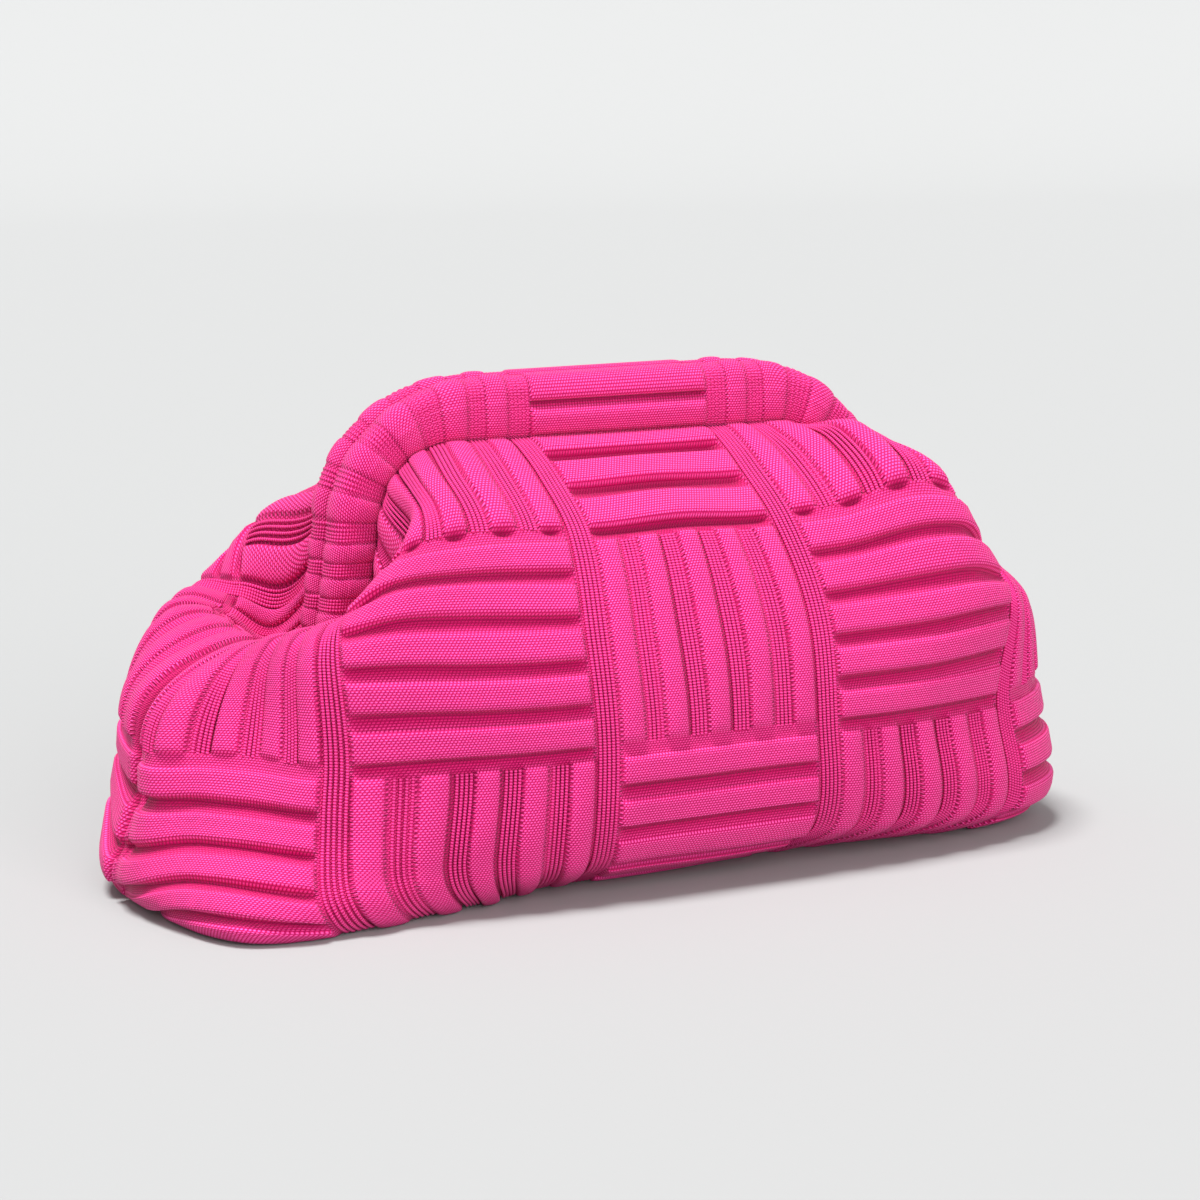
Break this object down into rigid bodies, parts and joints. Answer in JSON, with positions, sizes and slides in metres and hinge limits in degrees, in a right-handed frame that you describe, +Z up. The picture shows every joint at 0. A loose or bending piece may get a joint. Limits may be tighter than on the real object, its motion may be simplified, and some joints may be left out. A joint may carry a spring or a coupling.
{
  "type": "pouch bag",
  "caption": "Soft knitted pouch bag with blocks of ribs in a basket pattern, standing on its base, its mouth sewn over an arched clasp frame.",
  "frame": {"origin": "middle of the base, on the surface the bag stands on", "axes": "+X along the bag to its right end, -Y towards its front, +Z up"},
  "size_m": [0.358, 0.1738, 0.1708],
  "materials": {
    "pink_knit": "hot pink rib knit, matt",
    "frame_steel": "plated flat bar, satin"
  },
  "bodies": {
    "root": {"knit_body": "pink_knit", "front_casing": "pink_knit", "back_casing": "pink_knit", "clasp_frame": "frame_steel"}
  },
  "joints": []
}
